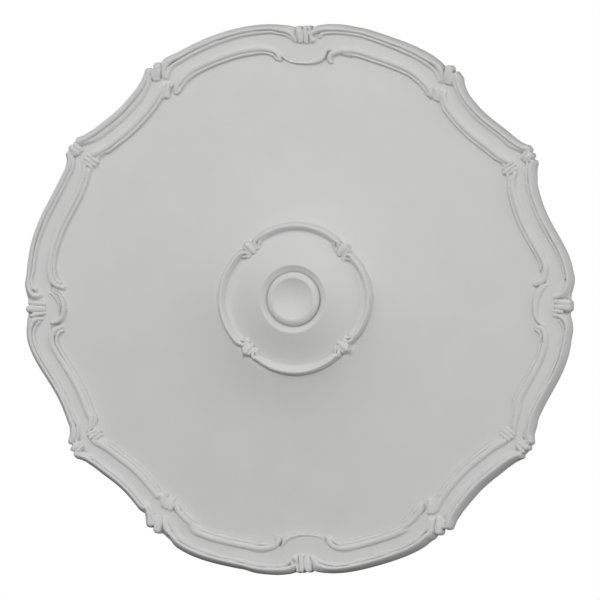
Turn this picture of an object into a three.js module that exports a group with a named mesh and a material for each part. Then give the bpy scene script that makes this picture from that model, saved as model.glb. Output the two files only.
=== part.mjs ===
// Ceiling rose in the rocaille style, one flat-backed casting.
// Millimetres. The flat back lies in the XZ plane, the face looks along -Y, and +Z is the top of the design.
// The surface is a height over the back, worked out from a polar outline and from strokes laid along it.
import * as THREE from "three";

// Heights over the back
const WALL_TOP = 10;
const RIM_CREST = 26;
const RIM_GROOVE = 20.5;
const RIM_BEAD = 22.5;
const CHANNEL = 17;
const INNER_CREST = 21.5;
const INNER_GROOVE = 17.5;
const INNER_BEAD = 18.5;
const CRESCENT_CREST = 19.5;
const CRESCENT_TIP = 17.5;
const CRESCENT_FLOOR = 12;
const FIELD_EDGE = 12;
const FIELD_CONE = 31;
const RING_FOOT = 46.5;
const RING_CREST = 58;
const RING_GROOVE = 53.5;
const RING_BEAD = 54.5;
const DOME_EDGE = 48;
const COLLAR_TOP = 69;
const COLLAR_FOOT = 60;
const BOSS_CREST = 70;
const DISH_EDGE = 69;
const DISH_CENTRE = 60;

// Widths and distances from the outline
const RIM_HALF = 9.2;
const INNER_HALF = 8.2;
const INNER_PATH = 44.4;
const CHANNEL_END = 46.5;
const FIELD_START = 52.5;
const PLATE_INSET = 3;
const BUMP_REACH = 14;

// Radii about the centre
const FLARE_RADIUS = 320;
const RING_FOOT_RADIUS = 140;
const RING_KNOT_RADIUS = 131.5;
const RING_HALF = 7.8;
const RING_INSIDE = 119;
const COLLAR_RADIUS = 60.5;
const GROOVE_RADIUS = 48.5;
const BOSS_RADIUS = 38;
const DISH_RADIUS = 36;

// The knots of the outline, clockwise from the top: clock angle in degrees and radius of the outline there.
// A major knot carries a palmette and a pocket. A shoulder knot joins a full arc to a hollow one, and a
// flank knot joins a hollow arc to an ogee. hand is -1 where the knot is the mirror image of its kind. The
// arc that follows each knot swells by bulge, leans by sway and is squared by third. A knot's carving sits
// off the kink of the outline by shift along it and by inset inwards.
const OUTLINE = [
  { kind: "major", clock: 0.9, radius: 489.7, hand: 1, bulge: 8.5, sway: 2.2, third: 1.8 },
  { kind: "shoulder", clock: 33.7, radius: 496, hand: 1, bulge: -19, sway: -3.5, third: 1.6, inset: -2 },
  { kind: "flank", clock: 58.9, radius: 493.6, hand: 1, bulge: -11.8, sway: -11.2, third: 2.1, inset: -3 },
  { kind: "major", clock: 91.3, radius: 496.5, hand: -1, bulge: -2, sway: 7.4, third: -1.2 },
  { kind: "flank", clock: 122.2, radius: 494, hand: -1, bulge: -15.2, sway: 1.5, third: 2, inset: -2 },
  { kind: "shoulder", clock: 147.5, radius: 492, hand: -1, bulge: 9.5, sway: 0, third: 1.5, shift: -4 },
  { kind: "major", clock: 178.8, radius: 487, hand: 1, bulge: 10, sway: -2.4, third: 2 },
  { kind: "shoulder", clock: 212.8, radius: 493, hand: 1, bulge: -16, sway: -2, third: 2, shift: -4 },
  { kind: "flank", clock: 237.4, radius: 496.5, hand: 1, bulge: -9.9, sway: -9.9, third: 2.1, inset: -3 },
  { kind: "major", clock: 268.6, radius: 514.5, hand: 1, bulge: 0, sway: 4.4, third: -1.9, inset: 7 },
  { kind: "flank", clock: 302.8, radius: 506.4, hand: -1, bulge: -15.4, sway: 1.7, third: 1.9, inset: -2 },
  { kind: "shoulder", clock: 327.1, radius: 502, hand: -1, bulge: 9.2, sway: -1.4, third: 0, shift: -10 },
].map((knot) => ({ shift: 0, inset: 0, ...knot }));

// The knots of the small ring: clock angle, radius, and the outer radius and bow of the arc that follows.
const RING = [
  { clock: 45.5, radius: RING_KNOT_RADIUS, reach: 142.5, bow: 13 },
  { clock: 133.5, radius: RING_KNOT_RADIUS, reach: 137.5, bow: 7 },
  { clock: 224, radius: RING_KNOT_RADIUS, reach: 144.3, bow: 11 },
  { clock: 318, radius: RING_KNOT_RADIUS, reach: 138, bow: 5 },
].map((knot) => ({ ...knot, hand: 1, shift: 0, inset: 0 }));

// Knot designs in the knot's own plane: first along the outline clockwise, then inwards.
// An end says how far from the knot the moulding leaves its line, the point it bends about and its tip,
// with the shares of its width and lift that are left there. A lobe runs from one point to another.
const KNOTS = {
  major: {
    before: { lead: 46, bend: [-22, 6], tip: [-15, 24], width: 0.5, lift: 0.6 },
    after: { lead: 46, bend: [15, 4], tip: [15.5, 23], width: 0.6, lift: 0.65 },
    innerBefore: { lead: 72, bend: [-49, 41], tip: [-44.5, 58], width: 0.45, lift: 0.7 },
    innerAfter: { lead: 72, bend: [50, 42], tip: [49, 60], width: 0.45, lift: 0.7 },
    lobes: [
      { from: [-9, 2.5], to: [-6.2, 23], half: [6.2, 4.2], crest: [27.5, 20.5] },
      { from: [2, 0.5], to: [4.5, 26], half: [3.6, 4.2], crest: [28, 20.5] },
      { from: [10, -1], to: [8, 18], half: [4.2, 2.5], crest: [26, 20] },
      { from: [33, 13], to: [29, 17], half: [3.5, 4], crest: [22, 21] },
    ],
    innerLobes: [],
  },
  shoulder: {
    before: { lead: 36, bend: [-8, 9], tip: [1, 26], width: 0.8, lift: 0.75 },
    after: { lead: 34, bend: [22, 9], tip: [16.5, 4], width: 0.95, lift: 1 },
    innerBefore: { lead: 36, bend: [-10, 48], tip: [-1.5, 61], width: 0.7, lift: 0.8 },
    innerAfter: { lead: 40, bend: [26, 49], tip: [19, 46], width: 0.8, lift: 0.9 },
    lobes: [{ from: [0, 2.5], to: [8, 21], half: [6.8, 4.3], crest: [28, 20] }],
    innerLobes: [
      { from: [2, 46], to: [8, 60], half: [5, 4.5], crest: [21, 17] },
      { from: [10, 45], to: [16, 59], half: [4.5, 4.5], crest: [21, 17] },
    ],
  },
  flank: {
    before: { lead: 34, bend: [-24, 9], tip: [-19, 7], width: 0.95, lift: 1 },
    after: { lead: 34, bend: [22, 10], tip: [15, 5], width: 0.85, lift: 1 },
    innerBefore: { lead: 30, bend: [-16, 44], tip: [-11, 42], width: 1, lift: 1 },
    innerAfter: { lead: 36, bend: [26, 46], tip: [18, 42], width: 0.8, lift: 0.95 },
    lobes: [
      { from: [-6, 2], to: [-5, 17], half: [4.8, 3.6], crest: [28, 21.5] },
      { from: [2.5, 1.5], to: [3.8, 12], half: [4.2, 3.2], crest: [27.5, 21.5] },
    ],
    innerLobes: [
      { from: [-1.5, 36], to: [1, 51], half: [2.8, 2.8], crest: [20.5, 17] },
      { from: [5, 36], to: [6, 51], half: [4.3, 4.4], crest: [21.5, 17.5] },
    ],
  },
  ring: {
    before: { lead: 20, bend: [-10, 6], tip: [-7.5, 17], width: 0.6, lift: 0.75 },
    after: { lead: 20, bend: [10, 6], tip: [9, 18], width: 0.65, lift: 0.75 },
    lobes: [
      { from: [0, 2], to: [0.5, 17], half: [6, 4], crest: [59, 53] },
      { from: [-6.5, 2], to: [-4.5, 9], half: [3, 2.5], crest: [56, 53] },
      { from: [7, 1.5], to: [5.5, 10], half: [3, 2.5], crest: [56.5, 53] },
    ],
  },
};

// The crescent that closes a major knot's pocket
const CRESCENT_SPAN = 39;
const CRESCENT_START = 46;
const CRESCENT_DEPTH = 65;
const CRESCENT_HALF = 5.5;
const CRESCENT_BLUNT = 0.08;

// Section of a moulding, as shares of its half width from the outer edge at -1 to the inner edge at 1
const SECTION_CREST = -0.35;
const SECTION_GROOVE = 0.32;
const SECTION_BEAD = 0.64;

// Mesh rows and columns
const PATH_STEPS = 24;
const HOOK_STEPS = 6;
const CRESCENT_STEPS = 14;
const SLOPE_STEP = 0.5;
const NORMAL_STEP = 0.2;
const EDGE_STEP = 0.25;
const MAJOR_COLUMNS = [-58, -46, -34, -25, -17, -10, -5, 0, 5, 10, 17, 25, 34, 46, 58];
const MINOR_COLUMNS = [-30, -21, -14, -8, -3, 3, 8, 14, 21, 30];
const ARC_COLUMNS = 4;
const RING_KNOT_COLUMNS = [-11, -7, -4, -1.5, 1.5, 4, 7, 11];
const RING_ARC_COLUMNS = 11;
const BOSS_COLUMNS = 48;
const RIM_ROWS = [3, 6, 11.7, 15.1, 18, 28, 36.2, 38.6, 41.6, 47, 49.6, 52.6, 58, 64, 70.5, 84];
const FIELD_ROWS = [360, 280, 215, 172];
const RING_ROWS = [24, 16, 10.5, 7.8, 5.5, 2.7, -0.5, -2.5, -5, -7.8, -13];
const DOME_ROWS = [100, 80];
const BOSS_ROWS = [62, 58.5, 54, 49.5, 48, 44.5, 41, 38, 36, 20];

const DEGREE = Math.PI / 180;
const TURN = 360;

const lerp = (a, b, t) => a + (b - a) * t;
const clamp = (v) => Math.min(1, Math.max(0, v));
const smooth = (t) => clamp(t) * clamp(t) * (3 - 2 * clamp(t));
const wrap = (clock) => ((clock % TURN) + TURN) % TURN;
const polar = (clock, radius) => [radius * Math.sin(clock * DEGREE), radius * Math.cos(clock * DEGREE)];
const clockOf = (x, z) => wrap(Math.atan2(x, z) / DEGREE);

// Quarter of an ellipse from low at the share 0 to high at the share 1.
function quarter(low, high, share) {
  const rest = 1 - clamp(share);
  return low + (high - low) * Math.sqrt(1 - rest * rest);
}

// The knot before a clock angle and the share of the way to the next one.
function arcAt(list, clock) {
  const behind = list.map((knot) => wrap(clock - knot.clock));
  const k = behind.indexOf(Math.min(...behind));
  const span = wrap(list[(k + 1) % list.length].clock - list[k].clock);
  return { k, t: behind[k] / span };
}

// Radius of the outline, without the lobes that stand proud of it.
function outlineRadius(clock) {
  const { k, t } = arcAt(OUTLINE, clock);
  const start = OUTLINE[k];
  const end = OUTLINE[(k + 1) % OUTLINE.length];
  const swell = start.bulge * 4 * t * (1 - t);
  const lean = start.sway * Math.sin(2 * Math.PI * t) + start.third * Math.sin(3 * Math.PI * t);
  return lerp(start.radius, end.radius, t) + swell + lean;
}

// How much longer a radial step is than a step square to the outline.
function outlineStretch(clock) {
  const change = outlineRadius(clock + SLOPE_STEP) - outlineRadius(clock - SLOPE_STEP);
  const slope = change / (2 * SLOPE_STEP * DEGREE);
  return Math.hypot(1, slope / outlineRadius(clock));
}

// A point of the outline moved square to it, inwards.
function outlinePoint(clock, inwards) {
  const [x, z] = polar(clock, outlineRadius(clock));
  const [x0, z0] = polar(clock - NORMAL_STEP, outlineRadius(clock - NORMAL_STEP));
  const [x1, z1] = polar(clock + NORMAL_STEP, outlineRadius(clock + NORMAL_STEP));
  const length = Math.hypot(x1 - x0, z1 - z0);
  return [x + ((z1 - z0) / length) * inwards, z - ((x1 - x0) / length) * inwards];
}

// Centre line of the small ring, which bows out between its knots.
function ringRadius(clock) {
  const { k, t } = arcAt(RING, clock);
  return RING[k].reach - RING_HALF - RING[k].bow * (2 * t - 1) ** 2;
}

// A point in a knot's own plane, brought to the plane of the back.
function knotPoint(knot, [along, inwards]) {
  const [outX, outZ] = polar(knot.clock, 1);
  const out = knot.radius - knot.inset - inwards;
  const side = knot.hand * knot.shift + along;
  return [outX * out + outZ * side, outZ * out - outX * side];
}

const flipped = ([along, inwards]) => [-along, inwards];
const mirrored = (end) => ({ ...end, bend: flipped(end.bend), tip: flipped(end.tip) });

// The two ends of a knot's moulding, in clockwise order whatever the knot's hand.
function knotEnds(design, hand, inner) {
  const before = inner ? design.innerBefore : design.before;
  const after = inner ? design.innerAfter : design.after;
  return hand > 0 ? { before, after } : { before: mirrored(after), after: mirrored(before) };
}

// Samples of a bent end, from the moulding's line at one point to the tip.
function hook(from, end, knot) {
  const bend = knotPoint(knot, end.bend);
  const tip = knotPoint(knot, end.tip);
  const samples = [];
  for (let i = 1; i <= HOOK_STEPS; i++) {
    const t = i / HOOK_STEPS;
    const x = lerp(lerp(from[0], bend[0], t), lerp(bend[0], tip[0], t), t);
    const z = lerp(lerp(from[1], bend[1], t), lerp(bend[1], tip[1], t), t);
    samples.push({ x, z, width: lerp(1, end.width, t), lift: lerp(1, end.lift, t) });
  }
  return samples;
}

// Path of a moulding between two knots of a list, with its ends bent as the knots say.
function mouldingPath(list, k, linePoint, lineRadius, ends) {
  const start = list[k];
  const stop = list[(k + 1) % list.length];
  const span = wrap(stop.clock - start.clock);
  const first = ends[k].after;
  const last = ends[(k + 1) % list.length].before;
  const from = first.lead / lineRadius / DEGREE;
  const to = span - last.lead / lineRadius / DEGREE;
  const line = [];
  for (let i = 0; i <= PATH_STEPS; i++) {
    const [x, z] = linePoint(start.clock + lerp(from, to, i / PATH_STEPS));
    line.push({ x, z, width: 1, lift: 1 });
  }
  const startHook = hook([line[0].x, line[0].z], first, start);
  const endPoint = line[line.length - 1];
  const stopHook = hook([endPoint.x, endPoint.z], last, stop);
  return [...startHook.reverse(), ...line, ...stopHook];
}

// Where a point lies against a path: share of the half width across it, how far past its end, and its lift.
function place(stroke, x, z) {
  const { path, half } = stroke;
  let best = Infinity;
  let found = null;
  for (let i = 0; i + 1 < path.length; i++) {
    const a = path[i];
    const b = path[i + 1];
    const dx = b.x - a.x;
    const dz = b.z - a.z;
    const length = Math.hypot(dx, dz);
    const raw = ((x - a.x) * dx + (z - a.z) * dz) / (length * length);
    const t = clamp(raw);
    const gap = Math.hypot(x - a.x - dx * t, z - a.z - dz * t);
    if (gap >= best) continue;
    best = gap;
    const open = (i === 0 && raw < 0) || (i + 2 === path.length && raw > 1);
    const width = half * lerp(a.width, b.width, t);
    found = {
      across: ((x - a.x) * dz - (z - a.z) * dx) / length / width,
      past: open ? (Math.abs(raw - t) * length) / width : 0,
      lift: lerp(a.lift, b.lift, t),
      crest: lerp(a.crest ?? 0, b.crest ?? 0, t),
    };
  }
  return found;
}

// Section of a moulding: a broad round, a groove, a small bead and a step down, from the outer edge inwards.
function section(across, { outside, crest, groove, bead, inside }) {
  if (across < SECTION_CREST) return quarter(outside, crest, (across + 1) / (SECTION_CREST + 1));
  if (across < SECTION_GROOVE) {
    return quarter(groove, crest, (SECTION_GROOVE - across) / (SECTION_GROOVE - SECTION_CREST));
  }
  if (across < SECTION_BEAD) {
    return quarter(groove, bead, (across - SECTION_GROOVE) / (SECTION_BEAD - SECTION_GROOVE));
  }
  return quarter(inside, bead, (1 - across) / (1 - SECTION_BEAD));
}

// Height of a stroke over a point, or -Infinity where it doesn't reach.
function strokeHeight(stroke, x, z) {
  const at = place(stroke, x, z);
  if (Math.abs(at.across) >= 1 || at.past >= 1) return -Infinity;
  const cap = Math.sqrt(1 - at.past * at.past);
  if (stroke.profile) {
    const top = section(at.across, stroke.profile);
    return stroke.floor + (top - stroke.floor) * at.lift * cap;
  }
  const dome = Math.sqrt(1 - at.across * at.across);
  return stroke.floor + (at.crest - stroke.floor) * dome * cap;
}

// A lobe of a knot as a short stroke.
function lobeStroke(lobe, knot, floor) {
  const points = [lobe.from, lobe.to].map((p) => (knot.hand > 0 ? p : flipped(p)));
  const ends = points.map((p) => knotPoint(knot, p));
  const path = ends.map(([x, z], i) => ({ x, z, width: lobe.half[i], lift: 1, crest: lobe.crest[i] }));
  return { path, half: 1, floor };
}

// The tapered bead round a major knot's pocket.
function crescentStroke(knot) {
  const path = [];
  for (let i = 0; i <= CRESCENT_STEPS; i++) {
    const t = lerp(-1, 1, i / CRESCENT_STEPS);
    const inwards = lerp(CRESCENT_DEPTH, CRESCENT_START, t * t);
    const [x, z] = knotPoint(knot, [CRESCENT_SPAN * t, inwards]);
    const swell = Math.sqrt(1 + CRESCENT_BLUNT - t * t);
    const crest = lerp(CRESCENT_TIP, CRESCENT_CREST, swell);
    path.push({ x, z, width: CRESCENT_HALF * swell, lift: 1, crest });
  }
  return { path, half: 1, floor: CRESCENT_FLOOR };
}

const RIM_PROFILE = {
  outside: WALL_TOP,
  crest: RIM_CREST,
  groove: RIM_GROOVE,
  bead: RIM_BEAD,
  inside: CHANNEL,
};
const INNER_PROFILE = {
  outside: CHANNEL,
  crest: INNER_CREST,
  groove: INNER_GROOVE,
  bead: INNER_BEAD,
  inside: FIELD_EDGE,
};
const RING_PROFILE = {
  outside: RING_FOOT,
  crest: RING_CREST,
  groove: RING_GROOVE,
  bead: RING_BEAD,
  inside: DOME_EDGE,
};

// All strokes of the rim: outer and inner mouldings, lobes and crescents.
function rimStrokes() {
  const outerEnds = OUTLINE.map((knot) => knotEnds(KNOTS[knot.kind], knot.hand, false));
  const innerEnds = OUTLINE.map((knot) => knotEnds(KNOTS[knot.kind], knot.hand, true));
  const outerLine = (clock) => outlinePoint(clock, RIM_HALF);
  const innerLine = (clock) => outlinePoint(clock, INNER_PATH);
  const strokes = [];
  OUTLINE.forEach((knot, k) => {
    const outerPath = mouldingPath(OUTLINE, k, outerLine, knot.radius, outerEnds);
    strokes.push({ path: outerPath, half: RIM_HALF, profile: RIM_PROFILE, floor: WALL_TOP });
    const innerPath = mouldingPath(OUTLINE, k, innerLine, knot.radius, innerEnds);
    strokes.push({ path: innerPath, half: INNER_HALF, profile: INNER_PROFILE, floor: FIELD_EDGE });
    const design = KNOTS[knot.kind];
    design.lobes.forEach((lobe) => strokes.push(lobeStroke(lobe, knot, WALL_TOP)));
    design.innerLobes.forEach((lobe) => strokes.push(lobeStroke(lobe, knot, FIELD_EDGE)));
    if (knot.kind === "major") strokes.push(crescentStroke(knot));
  });
  return strokes;
}

// All strokes of the small ring.
function ringStrokes() {
  const ends = RING.map(() => knotEnds(KNOTS.ring, 1, false));
  const line = (clock) => polar(clock, ringRadius(clock));
  const strokes = [];
  RING.forEach((knot, k) => {
    const path = mouldingPath(RING, k, line, RING_KNOT_RADIUS, ends);
    strokes.push({ path, half: RING_HALF, profile: RING_PROFILE, floor: RING_FOOT });
    KNOTS.ring.lobes.forEach((lobe) => strokes.push(lobeStroke(lobe, knot, RING_FOOT)));
  });
  return strokes;
}

// Strokes with the box that each one covers, so that far ones are skipped quickly.
function boxed(stroke) {
  const reach = Math.max(...stroke.path.map((p) => p.width)) * stroke.half;
  const xs = stroke.path.map((p) => p.x);
  const zs = stroke.path.map((p) => p.z);
  const box = {
    west: Math.min(...xs) - reach,
    east: Math.max(...xs) + reach,
    south: Math.min(...zs) - reach,
    north: Math.max(...zs) + reach,
  };
  return { ...stroke, box };
}
const covers = ({ box }, x, z) => x > box.west && x < box.east && z > box.south && z < box.north;

const RIM_STROKES = rimStrokes().map(boxed);
const RING_STROKES = ringStrokes().map(boxed);

const tallest = (strokes, x, z) =>
  strokes.reduce((top, s) => (covers(s, x, z) ? Math.max(top, strokeHeight(s, x, z)) : top), -Infinity);

// Share of the channel's level at a point: 1 in the channel and in the pockets, 0 in the field.
function channelShare(x, z, inwards) {
  let share = 1 - smooth((inwards - CHANNEL_END) / (FIELD_START - CHANNEL_END));
  for (const knot of OUTLINE) {
    if (knot.kind !== "major") continue;
    const [outX, outZ] = polar(knot.clock, 1);
    const along = (x * outZ - z * outX) / CRESCENT_SPAN;
    const depth = knot.radius - knot.inset - (x * outX + z * outZ);
    const edge = lerp(CRESCENT_DEPTH, CRESCENT_START, along * along);
    if (Math.abs(along) < 1 && depth < edge) share = 1;
  }
  return share;
}

// Height of the smooth ground between the strokes of the rim and the ring.
function groundHeight(x, z) {
  const clock = clockOf(x, z);
  const radius = Math.hypot(x, z);
  const outline = outlineRadius(clock);
  const inwards = (outline - radius) / outlineStretch(clock);
  const edge = outline - FIELD_START;
  const rise = clamp((edge - radius) / (edge - RING_FOOT_RADIUS));
  const flare = clamp((FLARE_RADIUS - radius) / (FLARE_RADIUS - RING_FOOT_RADIUS));
  const field = lerp(FIELD_EDGE, FIELD_CONE, rise) + (RING_FOOT - FIELD_CONE) * flare ** 3;
  return lerp(field, CHANNEL, channelShare(x, z, inwards));
}

// Height of the dome inside the ring, its collar and the dished boss.
function centreHeight(radius) {
  const share = (from, to) => (radius - from) / (to - from);
  if (radius > COLLAR_RADIUS) {
    return lerp(DOME_EDGE, COLLAR_TOP, clamp(share(RING_INSIDE, COLLAR_RADIUS)));
  }
  if (radius > GROOVE_RADIUS) {
    return lerp(COLLAR_FOOT, COLLAR_TOP, share(GROOVE_RADIUS, COLLAR_RADIUS));
  }
  if (radius > BOSS_RADIUS) return quarter(COLLAR_FOOT, BOSS_CREST, share(GROOVE_RADIUS, BOSS_RADIUS));
  if (radius > DISH_RADIUS) return quarter(DISH_EDGE, BOSS_CREST, share(DISH_RADIUS, BOSS_RADIUS));
  return lerp(DISH_CENTRE, DISH_EDGE, (radius / DISH_RADIUS) ** 2);
}

const rimHeight = (x, z) => Math.max(groundHeight(x, z), tallest(RIM_STROKES, x, z));

function ringHeight(x, z) {
  const inside = Math.hypot(x, z) < ringRadius(clockOf(x, z));
  const ground = inside ? centreHeight(Math.hypot(x, z)) : groundHeight(x, z);
  return Math.max(ground, tallest(RING_STROKES, x, z));
}

// Radius of the edge at a clock angle: the plate, or a lobe or moulding that stands proud of it.
function edgeRadius(clock) {
  const plate = outlineRadius(clock) - PLATE_INSET;
  for (let radius = plate + BUMP_REACH; radius > plate; radius -= EDGE_STEP) {
    const [x, z] = polar(clock, radius);
    if (tallest(RIM_STROKES, x, z) > -Infinity) return radius;
  }
  return plate;
}

// Clock angles of the columns round a list of knots: close together at the knots, even between them.
function columnClocks(list, offsetsOf, between) {
  const clocks = [];
  list.forEach((knot, k) => {
    const next = list[(k + 1) % list.length];
    const own = offsetsOf(knot);
    clocks.push(...own.map((offset) => knot.clock + offset));
    const from = knot.clock + own[own.length - 1];
    const span = wrap(next.clock + offsetsOf(next)[0] - from);
    for (let i = 1; i < between; i++) clocks.push(from + (span * i) / between);
  });
  return clocks.map(wrap).sort((a, b) => a - b);
}

const toDegrees = (offsets, radius) => offsets.map((mm) => mm / radius / DEGREE);
const rimColumns = columnClocks(
  OUTLINE,
  (knot) => toDegrees(knot.kind === "major" ? MAJOR_COLUMNS : MINOR_COLUMNS, knot.radius),
  ARC_COLUMNS,
);
const ringColumns = columnClocks(RING, () => RING_KNOT_COLUMNS, RING_ARC_COLUMNS);
const bossColumns = Array.from({ length: BOSS_COLUMNS }, (_, i) => (TURN * i) / BOSS_COLUMNS);

// Loops of points from the edge of the back to the middle of the boss.
const vertices = [];
const loops = [];
function addLoop(clocks, radiusAt, heightAt) {
  const start = vertices.length;
  clocks.forEach((clock) => {
    const [x, z] = polar(clock, radiusAt(clock));
    vertices.push([x, -heightAt(x, z), z]);
  });
  loops.push({ start, clocks });
}

const edges = new Map(rimColumns.map((clock) => [clock, edgeRadius(clock)]));
addLoop(rimColumns, (clock) => edges.get(clock), () => 0);
addLoop(rimColumns, (clock) => edges.get(clock), () => WALL_TOP);
RIM_ROWS.forEach((inwards) => {
  const bump = Math.max(0, 1 - inwards / BUMP_REACH);
  const row = (clock) => {
    const outline = outlineRadius(clock);
    return outline - inwards * outlineStretch(clock) + (edges.get(clock) - outline) * bump;
  };
  addLoop(rimColumns, row, rimHeight);
});
FIELD_ROWS.forEach((radius) => addLoop(ringColumns, () => radius, groundHeight));
RING_ROWS.forEach((outwards) => addLoop(ringColumns, (clock) => ringRadius(clock) + outwards, ringHeight));
DOME_ROWS.forEach((radius) => addLoop(bossColumns, () => radius, (x, z) => centreHeight(Math.hypot(x, z))));
BOSS_ROWS.forEach((radius) => addLoop(bossColumns, () => radius, (x, z) => centreHeight(Math.hypot(x, z))));

// Triangles between two neighbouring loops, which may have different columns.
function zip(outer, inner, triangles) {
  const sizes = [outer.clocks.length, inner.clocks.length];
  const angle = (loop, i) => loop.clocks[i % loop.clocks.length] + TURN * Math.floor(i / loop.clocks.length);
  let i = 0;
  let j = 0;
  while (i < sizes[0] || j < sizes[1]) {
    const a = outer.start + (i % sizes[0]);
    const b = inner.start + (j % sizes[1]);
    const goOuter = j >= sizes[1] || (i < sizes[0] && angle(outer, i + 1) <= angle(inner, j + 1));
    if (goOuter) {
      triangles.push(a, b, outer.start + ((i + 1) % sizes[0]));
      i++;
    } else {
      triangles.push(a, b, inner.start + ((j + 1) % sizes[1]));
      j++;
    }
  }
}

const triangles = [];
for (let k = 0; k + 1 < loops.length; k++) zip(loops[k], loops[k + 1], triangles);

// The middle of the dish and the middle of the back close the surface.
const closeWithFan = (loop, point, facingOut) => {
  const middle = vertices.push(point) - 1;
  loop.clocks.forEach((_, i) => {
    const a = loop.start + i;
    const b = loop.start + ((i + 1) % loop.clocks.length);
    if (facingOut) triangles.push(a, middle, b);
    else triangles.push(a, b, middle);
  });
};
closeWithFan(loops[loops.length - 1], [0, -DISH_CENTRE, 0], true);
closeWithFan(loops[0], [0, 0, 0], false);

const geometry = new THREE.BufferGeometry();
geometry.setAttribute("position", new THREE.Float32BufferAttribute(vertices.flat(), 3));
geometry.setIndex(triangles);
geometry.computeVertexNormals();

const paint = new THREE.MeshStandardMaterial({ color: 0xe9e9e8, roughness: 0.8, metalness: 0 });
const rose = new THREE.Mesh(geometry, paint);
rose.name = "ceiling_rose";

const part = new THREE.Group();
part.add(rose);

export default part;
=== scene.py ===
"""Ceiling rose: fine relief, paint, light and camera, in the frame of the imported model.

The relief is worked out in millimetres, as heights over the flat back, and handed to Blender in metres.
"""

import math
from collections import namedtuple

import bpy
import numpy as np
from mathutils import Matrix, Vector


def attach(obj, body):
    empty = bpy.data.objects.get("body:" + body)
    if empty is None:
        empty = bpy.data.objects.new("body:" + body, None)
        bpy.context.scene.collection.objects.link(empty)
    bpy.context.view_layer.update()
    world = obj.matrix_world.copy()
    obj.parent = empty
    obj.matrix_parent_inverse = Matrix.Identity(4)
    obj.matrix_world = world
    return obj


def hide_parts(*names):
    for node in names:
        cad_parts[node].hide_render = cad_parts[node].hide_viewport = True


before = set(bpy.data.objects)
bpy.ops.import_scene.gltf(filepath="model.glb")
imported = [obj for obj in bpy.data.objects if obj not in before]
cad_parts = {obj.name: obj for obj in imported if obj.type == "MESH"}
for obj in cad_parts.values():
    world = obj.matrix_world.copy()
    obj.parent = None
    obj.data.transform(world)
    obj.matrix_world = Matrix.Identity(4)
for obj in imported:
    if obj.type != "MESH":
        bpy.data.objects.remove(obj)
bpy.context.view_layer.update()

MM = 0.001
TURN = 360.0

# Heights over the back
BACK = 0.0
WALL_TOP = 10.0
LOBE_FOOT = 19.0
RIM_GROUND = 12.0
CHANNEL = 17.0
FIELD_EDGE = 12.0
FIELD_CONE = 31.0
RING_FOOT = 46.5
RING_LOBE_FOOT = 52.5
DOME_EDGE = 48.0
COLLAR_TOP = 69.0
COLLAR_FOOT = 60.0
BOSS_CREST = 70.0
DISH_EDGE = 69.0
DISH_CENTRE = 60.0

# Distances from the outline
RIM_END = 16.0
CHANNEL_END = 46.5
FIELD_START = 52.5
PLATE_INSET = 3.0
BUMP_REACH = 14.0
DIP_REACH = 26.0
POCKET_EDGE = 2.0
FAR_OUTSIDE = -1000.0

# Radii about the centre
FLARE_RADIUS = 320.0
FLARE_POWER = 3
RING_FOOT_RADIUS = 140.0
RING_KNOT_RADIUS = 131.5
RING_HALF = 7.8
RING_INSIDE = 119.0
COLLAR_RADIUS = 60.5
GROOVE_RADIUS = 48.5
BOSS_RADIUS = 38.0
DISH_RADIUS = 36.0

# The outline's knots, clockwise from the top. A major knot carries a palmette and a pocket, a shoulder knot
# joins a full arc to a hollow one, and a flank knot joins a hollow arc to an ogee. The soft ones, at the
# upper left and the lower right, have a gentler kink and a carving to suit. hand is -1 where the knot is the
# mirror image of its kind. The arc that follows swells by bulge, leans by sway and is squared by third. The
# knot's carving sits off the kink of the outline by shift along it and by inset inwards, and the plate's
# edge draws back by dip beside the knot's lobes. The bottom knot is carved as the top one.
Knot = namedtuple(
    "Knot", "kind carving clock radius hand bulge sway third shift inset dip", defaults=(0, 0, 0)
)
OUTLINE = [
    Knot("major", "top", 0.9, 489.7, 1, 8.5, 2.2, 1.8),
    Knot("shoulder", "shoulder", 33.7, 496, 1, -19, -3.5, 1.6, shift=1, inset=-2),
    Knot("flank", "flank", 58.9, 493.6, 1, -11.8, -11.2, 2.1, inset=-3),
    Knot("major", "right", 91.3, 496.5, -1, -2, 7.4, -1.2),
    Knot("soft_flank", "soft_flank", 122.2, 494, -1, -15.2, 1.5, 2, shift=-5, inset=-2),
    Knot("soft_shoulder", "soft_shoulder", 147.5, 492, -1, 9.5, 0, 1.5, shift=-8),
    Knot("major", "top", 178.8, 487, 1, 10, -2.4, 2),
    Knot("shoulder", "shoulder", 212.8, 493, 1, -16, -2, 2, shift=-4),
    Knot("flank", "flank", 237.4, 496.5, 1, -9.9, -9.9, 2.1, inset=-3),
    Knot("major", "left", 268.6, 514.5, 1, 0, 4.4, -1.9, inset=1.6, dip=5),
    Knot("soft_flank", "soft_flank", 302.8, 506.4, -1, -15.4, 1.7, 1.9, shift=-5, inset=-2),
    Knot("soft_shoulder", "soft_shoulder", 327.1, 502, -1, 9.2, -1.4, 0, shift=-10, inset=-0.6),
]

# The small ring's knots, and the outer radius and bow of the arc that follows each
RingKnot = namedtuple(
    "RingKnot", "clock reach bow radius hand shift inset", defaults=(RING_KNOT_RADIUS, 1, 0, 0)
)
RING = [
    RingKnot(45.5, 142.5, 13),
    RingKnot(133.5, 137.5, 7),
    RingKnot(224, 144.3, 11),
    RingKnot(318, 138, 5),
]

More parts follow.
